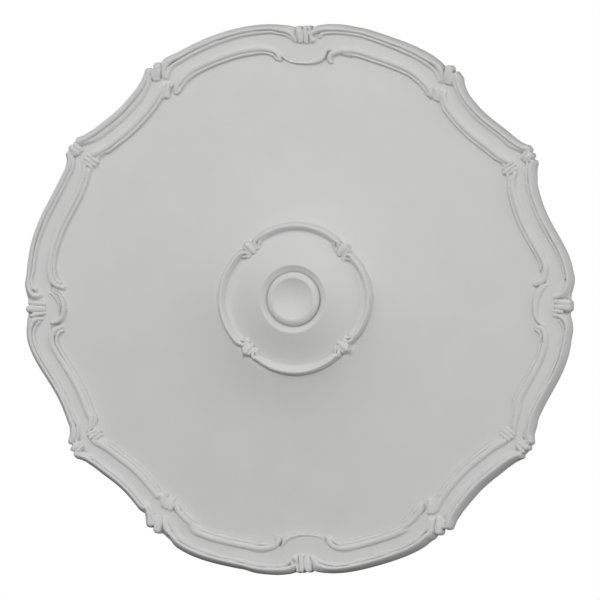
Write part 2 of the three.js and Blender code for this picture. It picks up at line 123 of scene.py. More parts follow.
# A ridge between two knots: its distance inwards, half widths outwards and inwards, crest, and the levels
# that it falls to outwards and inwards. At its tips both levels change to those of tips.
Line = namedtuple("Line", "inwards outer inner crest outer_low inner_low tips")
FULL_ARC = (Line(8.2, 8.7, 3, 26, 10, 21, (19, 18)), Line(13.9, 2.6, 4, 22.5, 21, 14, (18, 14)))
HOLLOW_ARC = (Line(8, 8.5, 3.4, 26.5, 10, 20.5, (19, 18)), Line(13, 1.6, 6.4, 21.3, 20.5, 14, (18, 14)))
OGEE_ARC = (Line(7.8, 8.3, 3.3, 26, 10, 20.5, (19, 18)), Line(13.8, 2.7, 3.9, 22.2, 20.5, 14, (18, 14)))
SOFT_ARC = (Line(9.5, 10, 4.6, 26.5, 10, 20.5, (19, 18)), Line(16, 2, 10, 21.6, 20.5, 14, (18, 14)))
INNER_ROUND = Line(42.6, 6.5, 5.2, 21.5, 15, 17, (16.5, 16))
INNER_BEAD = Line(50.6, 2.6, 3.2, 18.5, 17, 11, (16.5, 12))
RING_ROUND = Line(-1.5, 6.3, 8.2, 58, 44, 46.5, (52, 52))
RING_BEAD = Line(4, 2.2, 3.8, 51, 50, 47, (52, 50))

# How round a ridge is, outwards and inwards: 2 is an ellipse, 1 a straight slope
ROUND = (2, 2)
RIM_BLUNT = (1.3, 2)
RING_BLUNT = (1.8, 1.5)

# The rim's round and bead in each kind of arc, and how much wider they are at a knot of each kind
Arc = namedtuple("Arc", "ridges scale")
ARCS = {
    frozenset(("major", "shoulder")): Arc(FULL_ARC, {"major": 1.0, "shoulder": 1.22}),
    frozenset(("major", "soft_shoulder")): Arc(FULL_ARC, {"major": 1.0, "soft_shoulder": 1.22}),
    frozenset(("shoulder", "flank")): Arc(HOLLOW_ARC, {"shoulder": 1.0, "flank": 1.0}),
    frozenset(("soft_shoulder", "soft_flank")): Arc(SOFT_ARC, {"soft_shoulder": 1.0, "soft_flank": 1.0}),
    frozenset(("flank", "major")): Arc(OGEE_ARC, {"flank": 1.08, "major": 1.0}),
    frozenset(("soft_flank", "major")): Arc(OGEE_ARC, {"soft_flank": 1.08, "major": 1.0}),
}

# Knot designs in the knot's own plane. The end of a ridge says how far from the knot it leaves its line, and
# gives stations from there to its tip: along the outline clockwise, inwards, half widths outwards and
# inwards, crest. A ridge is rounded off at its tip, or cut square over the distance cut. A lobe's stations
# give along, inwards, half width and crest, and blunt is 2 for a round top and more for a flat one. The rolls
# that close a major knot's pocket have stations like a lobe's and the levels that they fall to on the
# pocket's side and on the field's. The first roll is the pocket's edge.
End = namedtuple("End", "lead stations cut", defaults=(None,))
Lobe = namedtuple("Lobe", "low blunt stations")
Roll = namedtuple("Roll", "lows stations")
Design = namedtuple("Design", "before after lobes rolls", defaults=((),))
TOP = Design(
    before=(
        End(60, [
            (-48, 3.2, 9.2, 4, 26), (-38, 5, 10.2, 4.3, 26), (-30, 7.2, 11.6, 4.5, 25.5),
            (-23, 10.8, 13, 4.5, 25), (-17.5, 17, 7.4, 4.5, 24), (-14, 24, 4, 3.5, 22),
        ]),
        End(60, [
            (-48, 10.3, 2.4, 3.2, 22.3), (-38, 12.1, 2.4, 3.2, 22), (-30, 14.9, 2.5, 3.2, 21.5),
            (-24, 18, 2.5, 3, 21), (-19, 22.5, 2.5, 2.8, 20), (-15, 26, 2.2, 2.2, 18.8),
        ]),
        End(80, [
            (-66, 39.4, 6, 4.5, 21.5), (-57, 41.2, 5.5, 4.5, 21.3), (-50.5, 45.4, 5.2, 4, 21),
            (-46.5, 50.5, 5.4, 3.8, 20), (-44.5, 57, 4.6, 3.4, 18.6),
        ]),
        End(80, [
            (-68, 46, 2.2, 2.6, 18.6), (-60, 47.8, 2.2, 2.6, 18.6), (-54.5, 51.5, 2.4, 2.8, 18.4),
            (-50, 57, 2.6, 2.6, 17.8),
        ]),
    ),
    after=(
        End(110, [
            (96, 7, 8.8, 3.2, 26), (80, 4.6, 9.4, 3.4, 26), (64, 3.3, 9.8, 3.6, 26), (48, 2.6, 9.6, 4.4, 26),
            (38, 2.6, 9, 5.4, 26), (29, 4, 9, 5.4, 26), (22, 7, 9, 4.4, 25.5),
            (16, 11.5, 6, 3.5, 24.8), (14, 17.5, 4.5, 4, 24), (16.8, 22.3, 6, 6.3, 23.2),
        ]),
        End(110, [
            (96, 12.8, 2.8, 4, 22.5), (80, 10.4, 2.8, 4, 22.5), (64, 9.2, 2.8, 3.8, 22.4),
            (50, 9.3, 3.2, 3.4, 22.3), (40, 10.5, 4, 3.2, 22.4), (34, 13, 4.6, 3.4, 22.4),
            (31, 16.5, 4.8, 4.2, 22.2),
        ]),
        End(104, [
            (88, 41.4, 6.4, 5.2, 21.5), (77, 41, 6.2, 5.2, 21.5), (66, 42.4, 6, 5.2, 21.5),
            (57, 44.8, 5.5, 5.2, 21.4), (50.5, 49.4, 4.6, 5.4, 21),
            (48, 56, 4, 5.4, 20.4), (50, 61, 3.8, 4.2, 19),
        ]),
        End(104, [(88, 49.5, 2.6, 3, 18.5), (79, 49.2, 2.5, 2.8, 18.4), (72, 49.6, 2.2, 2.4, 18)]),
    ),
    lobes=[
        Lobe(LOBE_FOOT, 3, [
            (-7.5, 3, 6.8, 27), (-6.7, 9, 7.4, 26.4), (-5.2, 18, 6.6, 25), (-4.8, 23, 5.4, 23.2),
        ]),
        Lobe(LOBE_FOOT, 2.4, [
            (4.5, 0, 4.2, 28), (5, 8, 5.2, 26.8), (5.4, 18, 5.2, 25), (5.6, 24.6, 4.8, 22.8),
        ]),
        Lobe(LOBE_FOOT, 2, [(11.5, -0.5, 3.8, 26), (12.5, 5, 3.8, 25), (12.4, 12, 2.6, 23.5)]),
    ],
    rolls=[
        Roll((16, 11), [
            (-46, 46, 1.3, 18), (-41.5, 49, 1.4, 18), (-36, 55, 1.5, 18.2), (-27, 60.4, 1.7, 18.4),
            (-17, 63, 1.9, 18.6), (-5, 64, 2.2, 18.9), (8, 64, 2.8, 19.2), (19, 62.6, 3.8, 19.6),
            (29, 59.3, 4.8, 19.8), (36, 54.5, 4.8, 19.8), (40, 47.5, 3.6, 19.2), (42, 41, 2.6, 18),
        ]),
    ],
)
RIGHT = Design(
    before=(
        End(60, [
            (-45, 3.5, 6.8, 4.8, 26), (-35, 5, 7.4, 5, 26), (-28, 9, 9.4, 4.6, 25.8),
            (-23.5, 15, 9, 4, 25), (-21, 22, 6.4, 3.8, 24), (-20, 27.5, 4.4, 3.2, 22),
        ]),
        End(60, [
            (-48, 12, 3.6, 3.2, 22), (-39, 13.3, 4, 3.2, 22), (-33, 16, 4, 3.2, 22),
            (-28.5, 19.8, 3.6, 2.6, 21.6),
        ]),
        End(80, [
            (-66, 43.5, 6, 5.2, 21.5), (-57, 44, 6, 5.4, 21.5), (-48, 46.8, 5, 5.2, 21.2),
            (-42.5, 52, 4.2, 5.6, 20.8), (-41, 59, 3.6, 4.6, 19.4),
        ]),
        End(80, [
            (-66, 53, 3, 2.8, 18.8), (-56, 53.3, 3.6, 2.8, 18.8), (-50, 57, 4, 2.8, 18.8),
            (-46.5, 62, 3.4, 2.6, 18.4),
        ]),
    ),
    after=(
        End(60, [
            (45, 2.8, 7.2, 5, 26), (34, 4.5, 7.6, 5.6, 26), (25, 8, 8.4, 6, 25.8),
            (17, 14, 8, 6, 25), (13, 21, 4.6, 5.4, 24), (11.8, 27, 3.6, 4.4, 22.2),
        ]),
        End(66, [(54, 12.6, 3.4, 3.2, 21.8), (46, 11, 3.6, 3, 21.6)]),
        End(96, [
            (66, 46.2, 6, 5.5, 21.5), (53, 47.5, 6.2, 6, 21.5), (43, 51.5, 6.8, 5.8, 21.2),
            (37.5, 58, 6.2, 5.4, 20.4), (35, 64, 4.6, 4, 19.2),
        ]),
        End(98, [(68, 55.6, 2.8, 3, 18.5), (60, 55, 2.4, 2.8, 18)]),
    ),
    lobes=[
        Lobe(LOBE_FOOT, 2.4, [(-14.4, 14, 3.4, 25), (-13, 21, 3.8, 24.2), (-12.4, 28, 3.2, 22)]),
        Lobe(LOBE_FOOT, 2.4, [
            (-6.4, 3.4, 7.4, 27.5), (-6, 10, 6.4, 26.4), (-5.4, 18, 5.4, 25), (-5, 24.5, 4.4, 22.4),
        ]),
        Lobe(LOBE_FOOT, 2.4, [
            (1.4, 3.2, 7, 27.5), (2.4, 8, 6.2, 26.4), (3.4, 16, 5.6, 25.2), (4.2, 24, 4.8, 22.8),
        ]),
    ],
    rolls=[
        Roll((16, 10), [
            (-39, 47, 2.4, 19.5), (-33.5, 55.5, 3.8, 20.6), (-23, 62, 5.4, 21.5), (-10, 64, 6.6, 21.8),
            (3, 63, 7, 21.8), (15, 60, 7, 21.6),
            (25, 55, 7, 21), (31.5, 48, 5.6, 20), (34.5, 42, 3.8, 18.5),
        ]),
    ],
)
LEFT = Design(
    before=(
        End(60, [
            (-45, 7, 8, 4.8, 26), (-36, 8.5, 9, 5.2, 26), (-28, 11.5, 10, 5.4, 25.6),
            (-22, 17, 10, 5, 24.8), (-19.5, 24, 5.4, 4.4, 23.6), (-20, 29, 4, 3.8, 22.2),
        ]),
        End(60, [
            (-46, 15, 3.2, 3.2, 22), (-38, 17, 3.4, 3.2, 22), (-31, 20.5, 3.4, 3.2, 21.8),
            (-27, 25.5, 3.6, 2.8, 21.4),
        ]),
        End(96, [
            (-65, 48.2, 6, 5.2, 21.5), (-54, 47.4, 5.8, 5.6, 21.5), (-45, 50.6, 5.4, 6, 21.4),
            (-38.5, 57, 4.2, 5.8, 20.8), (-35.8, 66, 3.4, 4.4, 19.4),
        ]),
        End(96, [
            (-66, 57.4, 2.8, 2.8, 18.8), (-57, 57, 3.2, 2.8, 18.8), (-50, 59.2, 3.6, 2.8, 18.8),
            (-45.5, 63.5, 3.8, 2.6, 18.6), (-43.5, 68, 3.4, 2.6, 18.2),
        ]),
    ),
    after=(
        End(60, [
            (46, 6, 8, 4.6, 26), (36, 7.5, 8, 4.8, 26), (28, 10.5, 8.2, 5, 25.8),
            (22.5, 16, 7, 5, 25), (21.5, 23, 5, 4.8, 24), (22.5, 28, 4.4, 4.4, 22.4),
        ]),
        End(66, [
            (56, 13.3, 3, 3.4, 22), (46, 13, 3.4, 3.8, 22.2), (38, 15, 4.2, 4.5, 22.4),
            (34.5, 20, 4.6, 4.2, 22.2),
        ]),
        End(84, [
            (70, 47, 6, 5, 21.5), (58, 48, 6, 5.2, 21.5), (48, 51, 5.5, 5.2, 21.4),
            (41, 58, 4.8, 4.6, 21), (37.5, 66, 4.2, 4.2, 20.2), (35, 71, 3.6, 3.6, 19),
        ]),
        End(84, [
            (72, 55, 2.8, 3, 18.7), (60, 55.8, 2.8, 3, 18.7), (50, 59.6, 3, 3, 18.5),
            (45.5, 65.5, 3, 3, 18.2),
        ]),
    ),
    lobes=[
        Lobe(LOBE_FOOT, 2.2, [
            (-13.6, 12, 4, 25.5), (-11.5, 19, 4.4, 25), (-10.8, 28, 3.8, 23.8), (-10, 35, 3, 22),
        ]),
        Lobe(LOBE_FOOT, 2.4, [
            (-1.6, 8, 6.6, 27), (-1.6, 15, 7.2, 26.2), (-1.6, 25, 6.2, 24.6), (-2, 32.5, 5.2, 22.4),
        ]),
        Lobe(LOBE_FOOT, 2.2, [
            (9.4, 10, 4.4, 26), (8.4, 20, 4.6, 25.2), (7.6, 29, 4.2, 23.8), (7, 35, 3.2, 22.2),
        ]),
    ],
    rolls=[
        Roll((15, 10), [
            (-28, 49, 3, 20), (-27, 56, 3.8, 21), (-23, 64, 4.4, 21.8), (-14, 70, 4.6, 22), (-3, 72, 4.2, 22),
            (9, 70.5, 3.6, 21.6), (19, 66, 3, 21), (26, 59, 2.4, 20), (30, 50, 2, 18.5),
        ]),
        Roll((15, 14), [
            (-12, 64, 1.8, 19.5), (0, 63.6, 2.1, 20.6), (9, 61.5, 2.3, 21), (17, 57, 2.3, 21),
            (23, 51.5, 2.1, 20.5), (27, 46, 1.8, 19.5),
        ]),
    ],
)
SHOULDER = Design(
    before=(
        End(40, [
            (-25, 7.4, 6.4, 6.2, 26), (-14, 10, 7, 7.2, 25.6), (-6, 15, 6.4, 7.2, 24.6),
            (-1, 21, 5.4, 6, 23), (1.5, 26, 4.8, 5.4, 21.4),
        ]),
        End(40, [
            (-22, 19.4, 3.8, 3.6, 22), (-14, 22.5, 4.8, 3.6, 22), (-7, 27.5, 4.8, 3.6, 21.4),
            (-3, 31, 4.2, 3.4, 20.4),
        ]),
        End(58, [
            (-46, 44.9, 6.2, 5.2, 21.5), (-36, 45.8, 6, 5.2, 21.5), (-24, 48, 6, 5.4, 21.5),
            (-13, 51, 5.5, 5.4, 21.2), (-5, 56, 5, 5.2, 20.4), (-1.5, 61, 4.5, 4.6, 19.2),
        ]),
        End(58, [
            (-46, 52.8, 2.7, 3.1, 18.6), (-36, 53.7, 2.7, 3.1, 18.6), (-24, 56.2, 2.8, 3, 18.5),
            (-14, 59.7, 2.8, 3, 18.3), (-7, 63.5, 2.8, 3, 17.8),
        ]),
    ),
    after=(
        End(50, [
            (40.5, 24, 8, 4, 26.4), (34.5, 20, 8, 4.2, 26.5), (29, 15, 7.8, 5, 26.8),
            (23.5, 7.6, 7.4, 6.4, 27), (19.5, 3.2, 7, 7, 27.2),
        ]),
        End(50, [
            (38, 28.6, 2.6, 5.4, 22), (30, 24, 3, 5, 22.6), (22.5, 18, 3.4, 5, 23.2),
            (17, 11, 4, 5, 23.6),
        ]),
        End(50, [
            (29, 57.4, 6, 5.5, 21.5), (23, 53, 5.8, 5.5, 21.5), (18.5, 47.5, 5.4, 5.4, 21.6),
            (17, 44.5, 5, 5, 21.4),
        ]),
        End(50, [(27, 64.6, 2.6, 3, 18.5), (21, 60, 2.6, 3, 18.4), (17, 55.5, 2.5, 2.8, 18.2)]),
    ),
    lobes=[
        Lobe(LOBE_FOOT, 2.6, [
            (1.6, 3.2, 8.2, 27.5), (4.6, 11, 7.4, 26.6), (8.6, 20, 5.8, 24.4), (10, 24, 4.8, 22.6),
        ]),
        Lobe(LOBE_FOOT, 2.2, [(12.8, 7.5, 4, 25), (15, 15.5, 4.6, 24.2), (16, 23, 4, 22.4)]),
        Lobe(CHANNEL, 2, [(2, 47, 5, 21.4), (5, 54, 5, 20.6), (8, 60, 4.6, 18.6)]),
        Lobe(CHANNEL, 2, [(9.5, 45, 4.2, 21.4), (11.5, 52, 4.4, 20.6), (13, 58.5, 4.2, 18.6)]),
    ],
)
FLANK = Design(
    before=(
        End(50, [
            (-36.5, 16.8, 8, 3.8, 26.5), (-26, 12, 7.8, 4.2, 26.7), (-18, 6, 7.4, 5, 27),
            (-11.6, -0.4, 7.2, 7.4, 27.3),
        ]),
        End(50, [
            (-42, 25.8, 2.2, 6.4, 21.6), (-33, 22.2, 2.6, 6.4, 22), (-24, 15.6, 3, 6.2, 22.5),
            (-16.5, 9.8, 3.4, 5.6, 22.8), (-13, 6, 3.8, 5, 23),
        ]),
        End(46, [
            (-27, 50.5, 6.5, 5.5, 21.5), (-19, 46.5, 6.5, 5.5, 21.7), (-12, 42, 6, 5.5, 21.8),
            (-9, 40, 5.5, 5.5, 21.8),
        ], 3),
        End(46, [(-25.5, 57.8, 2.6, 3.2, 18.6), (-18, 53, 2.7, 3.2, 18.6), (-11, 47.5, 2.6, 3, 18.4)]),
    ),
    after=(
        End(50, [
            (36.5, 21, 8.2, 5.6, 26.2), (30.5, 18, 8.2, 6.2, 26.4), (23.5, 13, 7.8, 7, 26.7),
            (18.8, 8.3, 7.2, 6.4, 27), (15.3, 4, 6.6, 6.4, 27.2),
        ]),
        End(50, [
            (36, 30.5, 3, 3.6, 22), (28, 27, 3.4, 3.4, 22.2), (20, 22.5, 4, 3.2, 22.6),
            (13.5, 16.5, 4, 3, 22.8), (10.8, 12.5, 3.4, 2.6, 23),
        ]),
        End(52, [
            (28.5, 56, 5.8, 5.2, 21.5), (22, 51.5, 5.4, 5.2, 21.5), (16.5, 45.5, 5, 5, 21.6),
            (14, 41.5, 4.4, 4.4, 21.4),
        ]),
        End(52, [(25, 63, 2.6, 3, 18.5), (19, 58, 2.6, 2.8, 18.4), (13.5, 51.5, 2.4, 2.6, 18.2)]),
    ),
    lobes=[
        Lobe(LOBE_FOOT, 2.4, [(1.8, 0.8, 6, 27.5), (2.2, 8, 5.4, 26.2), (2.6, 13.5, 4.4, 23.6)]),
        Lobe(LOBE_FOOT, 2.2, [(-6, 2.5, 4.4, 25.8), (-5, 10, 4.2, 25), (-3, 17, 3.4, 22.8)]),
        Lobe(LOBE_FOOT, 2, [(8.6, 6, 2.8, 25), (7.8, 13, 2.8, 23.2)]),
        Lobe(CHANNEL, 2, [(-5.4, 38, 3.4, 21.6), (-5, 48, 3.2, 20.4), (-4.4, 56, 2.8, 18.4)]),
        Lobe(CHANNEL, 2, [(1, 37, 3.6, 22), (1.8, 47, 3.6, 20.8), (2.6, 58, 3.2, 18.6)]),
        Lobe(CHANNEL, 2, [(7.6, 37, 3.6, 21.6), (8.2, 47, 3.4, 20.4), (8.8, 54, 2.8, 18.4)]),
    ],
)
SOFT_SHOULDER = Design(
    before=(
        End(40, [
            (-25, 7.8, 10.4, 5.2, 26), (-14, 8.4, 11, 6.6, 25.8), (-6.5, 13, 10, 7, 25),
            (-1.5, 19.5, 6.6, 6, 23.4), (1, 25.5, 5, 5.4, 21.6),
        ]),
        End(40, [
            (-22, 18.6, 3.8, 3.6, 22), (-14, 21, 4.8, 3.6, 22), (-7, 26.5, 4.8, 3.6, 21.4),
            (-3, 31, 4.2, 3.4, 20.4),
        ]),
        SHOULDER.before[2],
        SHOULDER.before[3],
    ),
    after=(
        End(58, [
            (45.5, 17.4, 9.4, 4.6, 26.4), (37.5, 13.8, 9, 4.8, 26.6), (30.8, 9.8, 8.6, 5.2, 26.8),
            (25, 5, 8, 5.8, 27), (21, 1.4, 7.2, 6.6, 27.2),
        ]),
        End(58, [
            (44, 23.6, 2.4, 9, 21.6), (36, 19.8, 2.8, 8, 22), (29.5, 15.4, 3.2, 6.6, 22.6),
            (23.5, 10.4, 3.8, 5.4, 23.2),
        ]),
        End(60, [
            (38, 50.4, 6, 5.4, 21.5), (29, 46.2, 6, 5.4, 21.5), (22, 41.5, 5.6, 5.4, 21.6),
            (18.5, 38.5, 5, 5, 21.4),
        ]),
        End(60, [(36, 58.2, 2.6, 3, 18.5), (28, 53.6, 2.6, 3, 18.5), (22.5, 49, 2.5, 2.8, 18.2)]),
    ),
    lobes=[
        Lobe(LOBE_FOOT, 2.6, [
            (1.6, 3.2, 7.6, 27.5), (6, 10.5, 6.8, 26.6), (11.5, 18, 5.6, 24.4), (13.5, 21.5, 4.6, 22.6),
        ]),
        Lobe(LOBE_FOOT, 2.2, [(13.5, 5.5, 4.2, 25.4), (17, 13, 4.6, 24.4), (19, 19.5, 4, 22.6)]),
        Lobe(CHANNEL, 2, [(5, 42, 5, 21.4), (10.5, 49, 5.2, 20.8), (16.5, 57, 4.6, 18.8)]),
        Lobe(CHANNEL, 2, [(11.5, 38, 4.6, 21.4), (17, 45, 4.8, 20.8), (23.5, 53.5, 4.4, 18.8)]),
    ],
)
SOFT_FLANK = Design(
    before=(
        End(50, [
            (-36.5, 18.6, 9.4, 4.6, 26.5), (-27, 13.8, 9, 5, 26.7), (-20, 8.8, 8.6, 5.6, 27),
            (-16, 5, 8, 7, 27.2),
        ]),
        End(50, [
            (-40, 27.6, 2.2, 9.4, 21.6), (-32, 22.8, 2.6, 8.6, 22), (-24.5, 17.6, 3, 7.4, 22.5),
            (-18.5, 12.6, 3.6, 6, 22.8), (-14.5, 9.4, 4, 5.4, 23),
        ]),
        FLANK.before[2],
        FLANK.before[3],
    ),
    after=(
        End(55, [
            (38.4, 15.4, 8.2, 4.4, 26.2), (30, 13.2, 8.2, 5, 26.4), (22.5, 10, 7.8, 5.6, 26.7),
            (17.5, 6, 7.2, 6, 27), (14, 2, 6.6, 6.2, 27.2),
        ]),
        End(55, [
            (40, 23, 3, 3.6, 22), (31, 21, 3.4, 3.4, 22.2), (23, 17.6, 4, 3.2, 22.6),
            (16.5, 13, 4, 3, 22.8), (13, 9.4, 3.4, 2.6, 23),
        ]),
        End(66, [
            (50, 50.2, 6, 5.2, 21.5), (38, 47, 5.8, 5.2, 21.5), (28, 43.2, 5.4, 5.2, 21.6),
            (20, 39, 5, 5, 21.6), (16, 36.4, 4.4, 4.4, 21.4),
        ]),
        End(66, [
            (49, 58.2, 2.6, 3, 18.5), (37, 54.8, 2.6, 3, 18.5), (27, 50.6, 2.6, 2.8, 18.4),
            (20, 46.6, 2.4, 2.6, 18.2),
        ]),
    ),
    lobes=[
        Lobe(LOBE_FOOT, 2.4, [(2.2, 0.8, 6.4, 27.5), (2.6, 8, 5.6, 26.2), (3, 14.5, 4.6, 23.6)]),
        Lobe(LOBE_FOOT, 2.2, [(-6.5, 2.5, 5, 25.8), (-5.4, 10, 4.6, 25), (-3.4, 17, 3.6, 22.8)]),
        Lobe(LOBE_FOOT, 2, [(9, 6, 3, 25), (8.4, 13, 3, 23.2)]),
        Lobe(CHANNEL, 2, [(-3.4, 36, 3.8, 21.6), (-2.8, 45, 3.8, 20.6), (-2, 53, 3.2, 18.6)]),
        Lobe(CHANNEL, 2, [(3.6, 33, 4, 22), (4.4, 43, 4, 20.8), (5, 52, 3.4, 18.6)]),
        Lobe(CHANNEL, 2, [(10.6, 33, 3.8, 21.6), (11.2, 42, 3.8, 20.6), (11.6, 49, 3.2, 18.6)]),
    ],
)
DESIGNS = {
    "top": TOP,
    "right": RIGHT,
    "left": LEFT,
    "shoulder": SHOULDER,
    "flank": FLANK,
    "soft_shoulder": SOFT_SHOULDER,
    "soft_flank": SOFT_FLANK,
}
RING_DESIGN = Design(
    before=(
        End(24, [
            (-18, 4, 5.2, 6, 57.8), (-13, 6.4, 4.8, 4.6, 57), (-10, 11, 4, 3.8, 55.5),
            (-9, 16, 3.4, 3.4, 53.5),
        ]),
        End(26, [(-20, 10.8, 2.7, 3.4, 55.3), (-15.5, 13.6, 2.6, 3, 54.5), (-13, 17.5, 2.6, 2.8, 53)]),
    ),
    after=(
        End(24, [
            (18, 4, 5.2, 6, 57.8), (13, 6.4, 4.8, 4.6, 57), (10.5, 11, 4, 3.8, 55.5),
            (10, 17, 3.4, 3.4, 53.5),
        ]),
        End(26, [(20, 10.8, 2.7, 3.4, 55.3), (15.5, 13.6, 2.6, 3, 54.5), (13.5, 18, 2.6, 2.8, 53)]),
    ),
    lobes=[
        Lobe(RING_LOBE_FOOT, 2, [(0, 0.5, 6, 59), (0.3, 10, 5.6, 57.5), (0.5, 16.5, 4.4, 55)]),
        Lobe(RING_LOBE_FOOT, 2, [(-7, 2, 3, 56.5), (-6, 9, 3, 55.5), (-5.4, 14, 2.4, 54)]),
        Lobe(RING_LOBE_FOOT, 2, [(7.4, 1.5, 3, 56.5), (6.6, 9, 3, 55.5), (6, 14, 2.4, 54)]),
    ],
)

# Fineness of the relief: steps in millimetres or degrees, the fillet where two forms meet, how steeply and
# how far a ridge is followed outside its foot, and how far the close columns go to either side of a knot
LINE_STEPS = 16
PATH_STEP = 1.6
SLOPE_STEP = 0.5
NORMAL_STEP = 0.2
EDGE_STEP = 0.25
FILLET = 0.6
SKIRT_SLOPE = 3.0
SKIRT = 2.0
MAJOR_REACH = 76.0
MINOR_REACH = 40.0
KNOT_STEP = 1.7
ARC_STEP = 8.0
RING_KNOT_REACH = 30.0
RING_KNOT_STEP = 1.4
RING_ARC_STEP = 5.0
BOSS_COLUMNS = 150

# Rows of points. The rim's count inwards from the outline, the ring's outwards from its centre line, and the
# field's and the boss's are radii. A run is its first, its end and its step, and the field's rows are even.
RIM_ROWS = ((0.6, 19.0, 1.0), (19.5, 36.0, 1.5), (36.5, 79.0, 1.2), (82.0, 97.0, 5.0))
FIELD_FIRST_ROW = 370.0
FIELD_LAST_ROW = 172.0
FIELD_ROW_COUNT = 14
RING_OUTER_ROWS = (30.0, 22.0, 17.0, 14.0, 12.0)
RING_ROWS = ((10.5, -11.0, -0.9), (-12.0, -21.0, -1.5))
BOSS_ROWS = ((96.0, 62.0, -4.0), (61.0, 35.0, -0.75), (34.0, 4.0, -5.0))


def smooth(share):
    """Smooth step from 0 at the share 0 to 1 at the share 1."""
    t = np.clip(share, 0, 1)
    return t * t * (3 - 2 * t)


def lerp(a, b, t):
    """Straight mix of a and b."""
    return a + (b - a) * t


def quarter(low, high, share):
    """Quarter of an ellipse from low at the share 0 to high at the share 1."""
    rest = 1 - np.clip(share, 0, 1)
    return low + (high - low) * np.sqrt(1 - rest * rest)


def fuse(a, b):
    """The higher of two heights, with a small fillet where they meet."""
    near = np.clip(FILLET - np.abs(a - b), 0, None)
    return np.maximum(a, b) + near * near / (4 * FILLET)


def polar(clock, radius):
    """Point (x, z) at a clock angle in degrees and a radius."""
    turn = np.radians(clock)
    return np.stack([radius * np.sin(turn), radius * np.cos(turn)], axis=-1)


def clock_of(points):
    """Clock angle in degrees of points (x, z)."""
    return np.mod(np.degrees(np.arctan2(points[..., 0], points[..., 1])), TURN)


def turn_from(clock, start):
    """Clock angles from a start, between half a turn back and half a turn on."""
    return np.mod(clock - start + TURN / 2, TURN) - TURN / 2


def arc_at(knots, clock):
    """Index of the knot before a clock angle, and the share of the way from it to the next."""
    clocks = np.array([knot.clock for knot in knots])
    angle = np.mod(clock, TURN)
    k = np.mod(np.searchsorted(clocks, angle, side="right") - 1, len(knots))
    span = np.mod(np.roll(clocks, -1) - clocks, TURN)
    return k, np.mod(angle - clocks[k], TURN) / span[k]


def outline_radius(clock):
    """Radius of the outline, without the lobes that stand proud of it."""
    k, t = arc_at(OUTLINE, clock)
    radius, bulge, sway, third = (
        np.array([getattr(knot, name) for knot in OUTLINE], float)
        for name in ("radius", "bulge", "sway", "third")
    )
    lean = sway[k] * np.sin(2 * math.pi * t) + third[k] * np.sin(3 * math.pi * t)
    return lerp(radius[k], np.roll(radius, -1)[k], t) + bulge[k] * 4 * t * (1 - t) + lean


def outline_stretch(clock):
    """How much longer a radial step is than a step square to the outline."""
    change = outline_radius(clock + SLOPE_STEP) - outline_radius(clock - SLOPE_STEP)
    return np.hypot(1, change / np.radians(2 * SLOPE_STEP) / outline_radius(clock))


def outline_point(clock, inwards):
    """Points of the outline moved square to it, inwards."""
    along = polar(clock + NORMAL_STEP, outline_radius(clock + NORMAL_STEP))
    along = along - polar(clock - NORMAL_STEP, outline_radius(clock - NORMAL_STEP))
    along /= np.linalg.norm(along, axis=-1, keepdims=True)
    square = np.stack([along[..., 1], -along[..., 0]], axis=-1)
    return polar(clock, outline_radius(clock)) + square * inwards[..., None]


def ring_radius(clock):
    """Centre line of the small ring, which bows out between its knots."""
    k, t = arc_at(RING, clock)
    reach, bow = (np.array([getattr(knot, name) for knot in RING], float) for name in ("reach", "bow"))
    return reach[k] - RING_HALF - bow[k] * (2 * t - 1) ** 2


def ring_point(clock, inwards):
    """Points of the ring's centre line moved inwards."""
    return polar(clock, ring_radius(clock) - inwards)


def knot_points(knot, along, inwards):
    """Points of a knot's own plane, brought to the plane of the back."""
    out = polar(knot.clock, 1.0)
    side = np.array([out[1], -out[0]])
    radius = knot.radius - knot.inset - np.asarray(inwards)
    shifted = knot.hand * (np.asarray(along) + knot.shift)
    return radius[:, None] * out + shifted[:, None] * side


# A ridge laid along a path. The rows are samples of it, clockwise: x, z, half widths outwards and inwards,
# crest, and the levels it falls to outwards and inwards. The caps say how long its two ends are, and the
# window is the clock angle of its middle, the turn it covers to either side, and its least and greatest
# radius.
Stroke = namedtuple("Stroke", "rows blunt caps window")
HALVES = slice(2, 4)


def spline(rows):
    """Rows joined by a smooth curve and sampled evenly along it."""
    gap = np.linalg.norm(np.diff(rows[:, :2], axis=0), axis=1)
    at = np.concatenate([[0], np.cumsum(gap)])
    slope = np.gradient(rows, at, axis=0)
    fine = np.linspace(0, at[-1], math.ceil(at[-1] / PATH_STEP) + 1)
    i = np.clip(np.searchsorted(at, fine, side="right") - 1, 0, len(gap) - 1)
    span = gap[i][:, None]
    t = ((fine - at[i]) / gap[i])[:, None]
    bend = t * (1 - t) * span * ((1 - t) * slope[i] - t * slope[i + 1])
    return lerp(rows[i], rows[i + 1], t * t * (3 - 2 * t)) + bend


def stroke_of(rows, blunt=ROUND, cuts=(None, None)):
    """A stroke through rows, rounded off at its ends or cut square there."""
    fine = spline(rows)
    caps = [cut or end[HALVES].mean() for cut, end in zip(cuts, (fine[0], fine[-1]))]
    reach = fine[:, HALVES].max() + SKIRT
    radius = np.linalg.norm(fine[:, :2], axis=1)
    middle = clock_of(fine[len(fine) // 2, :2])
    turn = np.abs(turn_from(clock_of(fine[:, :2]), middle)).max() + math.degrees(reach / radius.min())
    return Stroke(fine, blunt, caps, (middle, turn, radius.min() - reach, radius.max() + reach))


def line_rows(line, clocks, scale, point_at):
    """A ridge's line between two knots as rows."""
    widths = scale[:, None] * np.array([line.outer, line.inner])
    levels = np.tile([line.crest, line.outer_low, line.inner_low], (len(clocks), 1))
    return np.hstack([point_at(clocks, line.inwards * scale), widths, levels])


